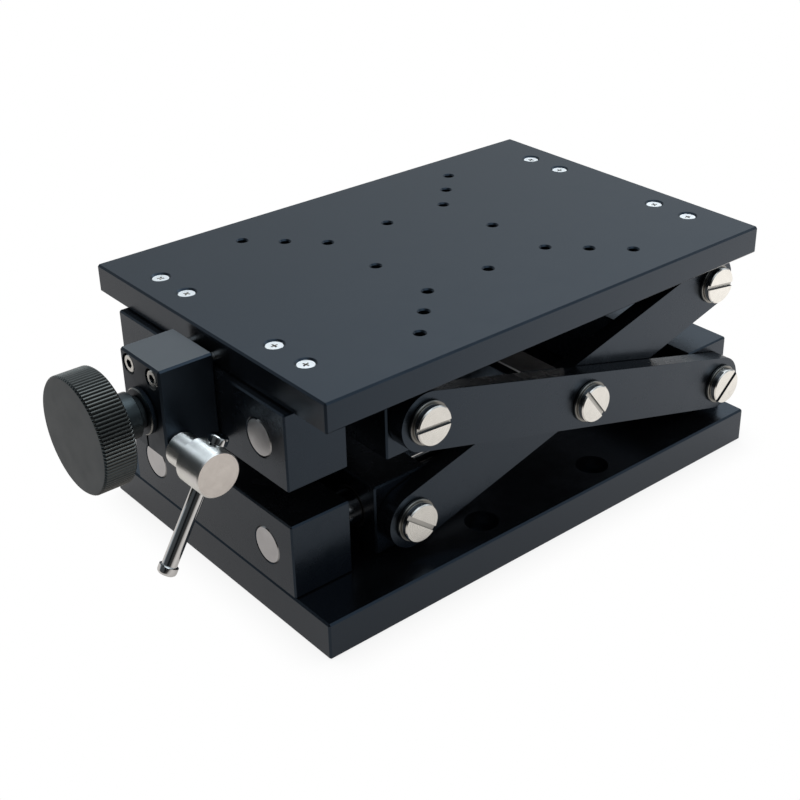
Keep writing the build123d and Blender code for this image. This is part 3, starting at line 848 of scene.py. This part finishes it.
leadScrew = {
    "journalRadius": 4.0,
    "crestRadius": 5.0,
    "rootRadius": 3.75,
    "coreRadius": 3.6,
    "pitch": 2.0,
    "flanks": ((0, 0), (0, 0.32), (1, 0.5), (1, 0.82), (0, 1)),  # share of the depth, of the pitch
    "stepsPerTurn": 40,
    "spareTurns": 2,
    "journalPast": 0.5,  # how far the journal reaches into the end block
    "journalBreak": 0.4,
    "threadOverlap": 0.3,
    "endGap": 0.2,
    "chamfer": 0.6,
}


def makeLeadScrew():
    s = leadScrew
    low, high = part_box("lead_screw")
    journal = (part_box("upper_end_block")[0].x - low.x) / mm + s["journalPast"]
    length = (high.x - low.x) / mm
    pitch = s["pitch"]
    threadStart = journal - s["spareTurns"] * pitch
    clearSelection()
    bpy.ops.mesh.primitive_plane_add(size=1)
    thread = bpy.context.active_object
    thread.name = "leadThread"
    depth = s["crestRadius"] - s["rootRadius"]
    mesh = bmesh.new()
    points = [
        mesh.verts.new((s["rootRadius"] + out * depth, 0, threadStart + along * pitch))
        for out, along in s["flanks"]
    ]
    for first, second in zip(points, points[1:]):
        mesh.edges.new((first, second))
    mesh.to_mesh(thread.data)
    mesh.free()
    turns = math.ceil((length - journal) / pitch) + 2 * s["spareTurns"]
    applyModifier(
        thread, "SCREW", axis="Z", angle=math.tau, screw_offset=pitch, iterations=turns,
        steps=s["stepsPerTurn"], render_steps=s["stepsPerTurn"], use_merge_vertices=True,
        merge_threshold=0.001, use_smooth_shade=True,
    )
    for height, away in ((journal, 1), (length - s["endGap"], -1)):  # square off both ends
        openForEditing(thread)
        bpy.ops.mesh.select_all(action="SELECT")
        bpy.ops.mesh.bisect(
            plane_co=(0, 0, height), plane_no=(0, 0, -away), use_fill=True, clear_outer=True,
        )
        closeEditing()
    core = turnPiece("leadCore", [
        (s["journalRadius"] - s["journalBreak"], 0),
        (s["journalRadius"], s["journalBreak"]),
        (s["journalRadius"], journal - s["threadOverlap"]),
        (s["coreRadius"], journal - s["threadOverlap"]),
        (s["coreRadius"], length - s["chamfer"]),
        (s["coreRadius"] - s["chamfer"], length),
    ])
    screw = joinPieces([core, thread], "threadedLeadScrew")
    finishTurned(screw, 24)
    placePiece(screw, (low.x, 0, middleOf("lead_screw").z), (0, 1, 0), (1, 0, 0))
    return screw


fitPiece(makeLeadScrew(), "knob", "ground_steel", rodSteel, "lead_screw")

leadNut = {"outerRadius": 8.0, "boreRadius": 5.05, "chamfer": 0.4}
low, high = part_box("lead_nut")
nut = makeSleeve("bronzeNut", leadNut, (high.x - low.x) / mm)
placePiece(nut, (low.x, 0, middleOf("lead_nut").z), (0, 1, 0), (1, 0, 0))
fitPiece(nut, "upper_slider", "bronze", bronze, "lead_nut")
print("lead screw and nut made")

# Knurled knob

knob = {
    "noseRadius": 5.0,
    "noseLength": 2.2,
    "hubRadius": 7.0,
    "hubLength": 8.3,
    "radius": 17.7,
    "length": 10.1,
    "bevel": 0.55,
    "teeth": 98,
    "grooveDepth": 0.55,
    "toothShape": (1.0, 0.5, 0.06, 0.0, 0.06, 0.5),  # share of the groove's depth over one tooth
    "noseBreak": 0.2,
    "hubBreak": 0.3,
    "hubFillet": 0.4,
    "faceEdge": ((0.05, 0.06), (-0.1, 0)),  # out past the grooves' floor, and back from the face
    "grubRadius": 2.0,
    "rimSkin": 0.01,
    "rimFrom": 15.0,  # distances from the axis that tell the rim and the hub from the faces
    "hubWithin": 8.0,
    "hubClear": 0.5,
    "flatFrom": 0.6,
}


def makeKnob():
    k = knob
    steps = len(k["toothShape"])
    hubEnd = k["noseLength"] + k["hubLength"]
    plain = k["radius"] - k["grooveDepth"]
    blank = turnPiece("knurledKnob", [
        (k["noseRadius"] - k["noseBreak"], 0),
        (k["noseRadius"], k["noseBreak"]),
        (k["noseRadius"], k["noseLength"]),
        (k["hubRadius"] - k["hubBreak"], k["noseLength"]),
        (k["hubRadius"], k["noseLength"] + k["hubBreak"]),
        (k["hubRadius"], hubEnd - k["hubFillet"]),
        (k["hubRadius"] + k["hubFillet"], hubEnd),
        (plain, hubEnd),
        (k["radius"], hubEnd + k["bevel"]),
        (k["radius"], hubEnd + k["length"] - k["bevel"]),
        *((plain + out, hubEnd + k["length"] - back) for out, back in k["faceEdge"]),
    ], k["teeth"] * steps)
    openForEditing(blank)
    for phase, share in enumerate(k["toothShape"]):  # press the grooves into the rim
        def onPhase(co):
            count = math.atan2(co.y, co.x) / math.tau * k["teeth"] * steps
            onRim = math.hypot(co.x, co.y) > k["radius"] - k["rimSkin"]
            return onRim and round(count) % steps == phase
        pickVerts(blank, onPhase)
        shrink = 1 - share * k["grooveDepth"] / k["radius"]
        bpy.ops.transform.resize(value=(shrink, shrink, 1), center_override=(0, 0, 0))
    closeEditing()
    grubPlace = (k["hubRadius"], 0, k["noseLength"] + k["hubLength"] / 2)
    cutAway(blank, drillBar(k["grubRadius"], k["hubRadius"], grubPlace, (1, 0, 0), 32))
    smoothSides(blank, 26)
    return blank


knobLow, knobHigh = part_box("knob")
knobHeight = middleOf("knob").z


def fromKnobAxis(face):
    return math.hypot(face.center.y, face.center.z - knobHeight) / mm


def onKnurl(face):  # the teeth and their bevels, and not the two flat faces
    return abs(face.normal.x) < knob["flatFrom"] and fromKnobAxis(face) > knob["rimFrom"]


def onHub(face):
    behind = (face.center.x - knobLow.x) / mm > knob["length"] - knob["hubClear"]
    return behind and fromKnobAxis(face) < knob["hubWithin"]


knurled = makeKnob()
placePiece(knurled, (knobHigh.x, 0, knobHeight), (0, 1, 0), (-1, 0, 0))
fitPiece(knurled, "knob", "black_anodised", blackKnob, "knob")
paintFaces(knurled, blackKnurl, onKnurl)
paintFaces(knurled, blackHub, onHub)
print("knob made")

# Thrust washer between the knob's hub and the drive block

thrustWasher = {"outerRadius": 7.2, "boreRadius": 4.05, "thickness": 1.8, "rim": 0.35}
washer = makeWasher("thrustRing", thrustWasher)
low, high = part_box("thrust_washer")
placePiece(washer, (high.x, 0, middleOf("thrust_washer").z), (0, 1, 0), (-1, 0, 0))
fitPiece(washer, "table", "bright_steel", blackSteel, "thrust_washer")
paintFaces(washer, washerSteel, lambda face: -0.9 < face.normal.x < -0.3)  # painted highlight: the left chamfer takes a paler steel, for the light arc it catches
print("thrust ring made")

# Cap screws of the drive block

capScrew = {
    "headRadius": 2.75,
    "headHeight": 3.0,
    "shankRadius": 1.5,
    "socketRadius": 1.45,
    "socketDepth": 2.0,
    "socketReach": 1.5,
    "rim": 0.3,
    "headBreak": 0.1,
    "endBreak": 0.25,
    "edge": 0.07,
    "firstTurn": 12,
    "turnStep": 25,
}


def makeCapScrew(length):
    c = capScrew
    screw = turnPiece("capScrew", [
        (c["shankRadius"] - c["endBreak"], -length),
        (c["shankRadius"], c["endBreak"] - length),
        (c["shankRadius"], -c["headHeight"]),
        (c["headRadius"] - c["headBreak"], -c["headHeight"]),
        (c["headRadius"], c["headBreak"] - c["headHeight"]),
        (c["headRadius"], -c["rim"]),
        (c["headRadius"] - c["rim"], 0),
    ])
    cutAway(screw, drillBar(c["socketRadius"], 2 * c["socketDepth"], (0, 0, 0), (0, 0, 1), 6))
    roundEdges(screw, c["edge"])
    finishTurned(screw)
    return screw


def inSocket(place):
    return inRecess(place, 0, capScrew["socketDepth"], capScrew["socketReach"])


low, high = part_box("drive_block_screws")
pattern = makeCapScrew((high.x - low.x) / mm)
headEdge = capScrew["headRadius"] * mm
screws = []
for count, y in enumerate((low.y + headEdge, high.y - headEdge)):
    turn = math.radians(capScrew["firstTurn"] + capScrew["turnStep"] * count)
    screw = copyPiece(pattern, "capScrewCopy")
    placePiece(
        screw, (low.x, y, (low.z + high.z) / 2),
        (0, math.cos(turn), math.sin(turn)), (-1, 0, 0),
    )
    screws.append(screw)
bpy.data.objects.remove(pattern)
group = joinPieces(screws, "driveCapScrews")
fitPiece(group, "table", "bright_steel", nickelScrew, "drive_block_screws")
# painted shade: the hexagon sockets are black inside, for the shade in their depth
paintInside(group, blackSteel, inSocket)
print("drive block's cap screws made")

# Clamp screw and its tommy bar

clamp = {
    "shankRadius": 2.0,
    "neckRadius": 5.2,
    "neckLength": 8.4,
    "headRadius": 7.0,
    "headLength": 11.1,
    "rim": 0.35,
    "neckBreak": 0.4,
    "endBreak": 0.25,
    "barHole": 2.4,
    "drillLength": 40,
    "edge": 0.15,
    "roundFrom": 40,
}
bar = {
    "radius": 2.3,
    "capLength": 3.0,
    "reach": 33.0,
    "upperCap": 7.2,
    "tuck": 1.2,  # how far short of a cap's outer end the bar stops inside it
    "capShape": ((2.35, 0), (2.9, 0.3), (2.9, 1.9), (2.72, 2.45), (2.3, 2.8), (1.5, 3.0)),
}
slideAxis = Vector(next(j for j in frame["joints"] if j["name"] == "bar_slide")["axis"])


def makeClampScrew():
    c = clamp
    low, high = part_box("clamp_screw")
    centre = middleOf("clamp_screw")
    front = -low.y / mm
    headStart = front - c["headLength"]
    neckStart = headStart - c["neckLength"]
    screw = turnPiece("clampScrew", [
        (c["shankRadius"] - c["endBreak"], -high.y / mm),
        (c["shankRadius"], c["endBreak"] - high.y / mm),
        (c["shankRadius"], neckStart),
        (c["neckRadius"] - c["neckBreak"], neckStart),
        (c["neckRadius"], neckStart + c["neckBreak"]),
        (c["neckRadius"], headStart),
        (c["headRadius"] - c["rim"], headStart),
        (c["headRadius"], headStart + c["rim"]),
        (c["headRadius"], front - c["rim"]),
        (c["headRadius"] - c["rim"], front),
    ], 128)
    across = (slideAxis.x, slideAxis.z, 0)  # the bar's direction in the screw's own frame
    holePlace = (0, 0, front - c["headLength"] / 2)
    cutAway(screw, drillBar(c["barHole"], c["drillLength"], holePlace, across))
    roundEdges(screw, c["edge"], 2, c["roundFrom"])
    finishTurned(screw)
    placePiece(screw, (centre.x, 0, centre.z), (1, 0, 0), (0, -1, 0))
    return screw


fitPiece(makeClampScrew(), "clamp_screw", "polished_steel", turnedChrome, "clamp_screw")

clampCentre = middleOf("clamp_screw")
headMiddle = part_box("clamp_screw")[0].y + clamp["headLength"] / 2 * mm
barOrigin = (clampCentre.x, headMiddle, clampCentre.z)
rodPart = turnPiece("tommyRod", [
    (bar["radius"], bar["tuck"] - bar["reach"]),
    (bar["radius"], bar["upperCap"] + bar["capLength"] - bar["tuck"]),
])
lowerCap = turnPiece("lowerCap", [(radius, -height) for radius, height in bar["capShape"]][::-1])
upperCap = turnPiece("upperCap", list(bar["capShape"]))
for cap, height in ((lowerCap, bar["capLength"] - bar["reach"]), (upperCap, bar["upperCap"])):
    openForEditing(cap)
    bpy.ops.mesh.select_all(action="SELECT")
    bpy.ops.transform.translate(value=(0, 0, height))
    closeEditing()
for piece in (rodPart, lowerCap, upperCap):
    finishTurned(piece)
    placePiece(piece, barOrigin, (0, 1, 0), slideAxis)
fitPiece(rodPart, "tommy_bar", "polished_steel", polishedBar, "tommy_bar")
caps = joinPieces([lowerCap, upperCap], "tommyCaps")
fitPiece(caps, "tommy_bar", "polished_steel", polishedBar, "tommy_bar_caps")
print("clamp screw and tommy bar made")

# Floor, light and camera

studio = {
    "floorSize": 6.0,
    "floorDrop": 0.0002,
    "floorColour": (0.86, 0.86, 0.86),
    "contactDark": 0.86,
    "contactReach": 0.014,
    "contactRange": (0.2, 0.95),
    "glossFloorColour": (1.05, 1.0, 0.96),
    "glossFloorLeft": (-0.12, 0.60),  # where the floor is, and how strongly gloss shows it there
    "glossFloorRight": (0.18, 1.20),
    "glossShadeReach": 0.08,
    "glossShade": (0.45, 0.68),
    "glossFront": (-0.69, -0.72, 0),
    "glossFrontRange": (0.15, 0.34),
    "glossFrontStrength": 0.06,
    "worldForDiffuse": 0.35,
    "glossWorldColour": (0.87, 0.96, 1.03),
    "glossWorldSlope": (0.92, 0, 3.05),
    "glossWorldLow": (1.48, 0.40),
    "glossWorldHigh": (2.23, 1.15),
    "roomPatches": {  # a direction, the closeness where it starts and is full, and its strength
        "behindCamera": ((-0.683, -0.724, 0.094), 0.80, 0.94, 0.08),
        "frontRight": ((0.590, -0.461, 0.663), 0.93, 0.985, 0.5),
        "above": ((0.56, -0.02, 0.83), 0.90, 0.96, 3.2),
        "left": ((-0.925, 0, 0.381), 0.66, 0.84, 0.16),
    },
}
clearSelection()
bpy.ops.mesh.primitive_plane_add(size=studio["floorSize"], location=(0, 0, -studio["floorDrop"]))
floor = bpy.context.active_object
floor.name = "studioFloor"


def rays(tree, kind):
    return addNode(tree, "ShaderNodeLightPath").outputs["Is " + kind + " Ray"]


def seenRays(tree):  # 1 for what the camera sees straight, in gloss or through glass
    seen = combine(tree, "MAXIMUM", rays(tree, "Camera"), rays(tree, "Glossy"))
    return combine(tree, "MAXIMUM", seen, rays(tree, "Transmission"))


def nearness(tree, reach):  # 1 in the open, less beside and under the stage
    return addNode(tree, "ShaderNodeAmbientOcclusion", {"Distance": reach}).outputs["AO"]


def ramp(tree, source, start, end):
    return spread(tree, source, start[1], end[1], start[0], end[0])


def glossChoice(tree, kind, straight, inGloss):
    return blend(tree, kind, rays(tree, "Glossy"), straight, inGloss)


# Seen straight on the floor is white paper with a contact shadow; in gloss it fades to the left,
# under the stage and in front of the camera, as the surroundings of the photograph do
# painted shadow: for camera and glossy rays the floor glows, and ambient occlusion darkens that
# glow beside and under the object
paper = bpy.data.materials.new("whitePaper")
paper.use_nodes = True
tree = paper.node_tree
tree.nodes.clear()
place = addNode(tree, "ShaderNodeTexCoord").outputs["Object"]
across = ramp(tree, partsOf(tree, place)["X"], studio["glossFloorLeft"], studio["glossFloorRight"])
shade = ramp(tree, nearness(tree, studio["glossShadeReach"]), studio["glossShade"], (1, 1))
front = combineVectors(tree, "DOT_PRODUCT", place, studio["glossFront"])
fade = spread(tree, front, 1.0, studio["glossFrontStrength"], *studio["glossFrontRange"])
inGloss = combine(tree, "MULTIPLY", combine(tree, "MULTIPLY", across, shade), fade)
contact = nearness(tree, studio["contactReach"])
straight = spread(tree, contact, studio["contactDark"], 1.0, *studio["contactRange"])
glow = addNode(tree, "ShaderNodeEmission", {
    "Strength": glossChoice(tree, "FLOAT", straight, inGloss),
    "Color": glossChoice(tree, "RGBA", (1, 1, 1), studio["glossFloorColour"]),
})
diffuse = addNode(tree, "ShaderNodeBsdfDiffuse", {"Color": studio["floorColour"]})
mixer = addNode(tree, "ShaderNodeMixShader", {
    0: seenRays(tree), 1: diffuse.outputs[0], 2: glow.outputs[0],
})
addNode(tree, "ShaderNodeOutputMaterial", {"Surface": mixer.outputs[0]})
floor.data.materials.append(paper)

# The room: white straight on, in gloss paler towards the top and the right, dark behind the camera
world = bpy.data.worlds.new("studioWorld")
bpy.context.scene.world = world
world.use_nodes = True
tree = world.node_tree
direction = addNode(tree, "ShaderNodeTexCoord").outputs["Generated"]
upward = combineVectors(tree, "DOT_PRODUCT", direction, studio["glossWorldSlope"])
room = ramp(tree, upward, studio["glossWorldLow"], studio["glossWorldHigh"])
for towards, start, full, strength in studio["roomPatches"].values():
    closeness = combineVectors(tree, "DOT_PRODUCT", direction, towards)
    room = combine(tree, "MULTIPLY", room, spread(tree, closeness, 1.0, strength, start, full))
straight = spread(tree, seenRays(tree), studio["worldForDiffuse"], 1.0, 0, 1)
setInputs(tree, tree.nodes["Background"], {
    "Strength": glossChoice(tree, "FLOAT", straight, room),
    "Color": glossChoice(tree, "RGBA", (1, 1, 1), studio["glossWorldColour"]),
})

lamps = {
    "keySoftbox": {"place": (0.75, -0.95, 1.05), "size": 0.9, "power": 4.0},
    "fillSoftbox": {"place": (-1.2, -0.3, 0.9), "size": 0.9, "power": 2.0},
}
for lampName, lamp in lamps.items():
    data = bpy.data.lights.new(lampName, "AREA")
    data.size = lamp["size"]
    data.energy = lamp["power"]
    light = bpy.data.objects.new(lampName, data)
    light.location = lamp["place"]
    light.rotation_euler = (-Vector(lamp["place"])).to_track_quat("-Z", "Y").to_euler()
    light.visible_glossy = False  # gloss shows the room and the floor alone
    bpy.context.scene.collection.objects.link(light)

view = {
    "azimuth": -40.668,
    "elevation": 28.182,
    "roll": -0.485,
    "distance": 0.47767,
    "targetHeight": 0.03848,
    "lens": 63.286,
    "sensor": 36,
    "shiftX": -0.04622,
    "shiftY": -0.04126,
    "clip": (0.01, 20),
}


def addCamera():
    azimuth, elevation = math.radians(view["azimuth"]), math.radians(view["elevation"])
    back = Vector((
        math.sin(azimuth) * math.cos(elevation),
        -math.cos(azimuth) * math.cos(elevation),
        math.sin(elevation),
    ))
    right = (-back).cross(Vector((0, 0, 1))).normalized()
    up = right.cross(-back)
    roll = math.radians(view["roll"])
    rolledRight = right * math.cos(roll) + up * math.sin(roll)
    rolledUp = up * math.cos(roll) - right * math.sin(roll)
    data = bpy.data.cameras.new("photoCamera")
    data.lens = view["lens"]
    data.sensor_width = view["sensor"]
    data.shift_x = view["shiftX"]
    data.shift_y = view["shiftY"]
    data.clip_start, data.clip_end = view["clip"]
    camera = bpy.data.objects.new("photoCamera", data)
    bpy.context.scene.collection.objects.link(camera)
    camera.location = Vector((0, 0, view["targetHeight"])) + back * view["distance"]
    camera.rotation_euler = Matrix((rolledRight, rolledUp, back)).transposed().to_euler()
    bpy.context.scene.camera = camera


addCamera()
bpy.context.scene.view_settings.view_transform = "Standard"
print("floor, light and camera set")
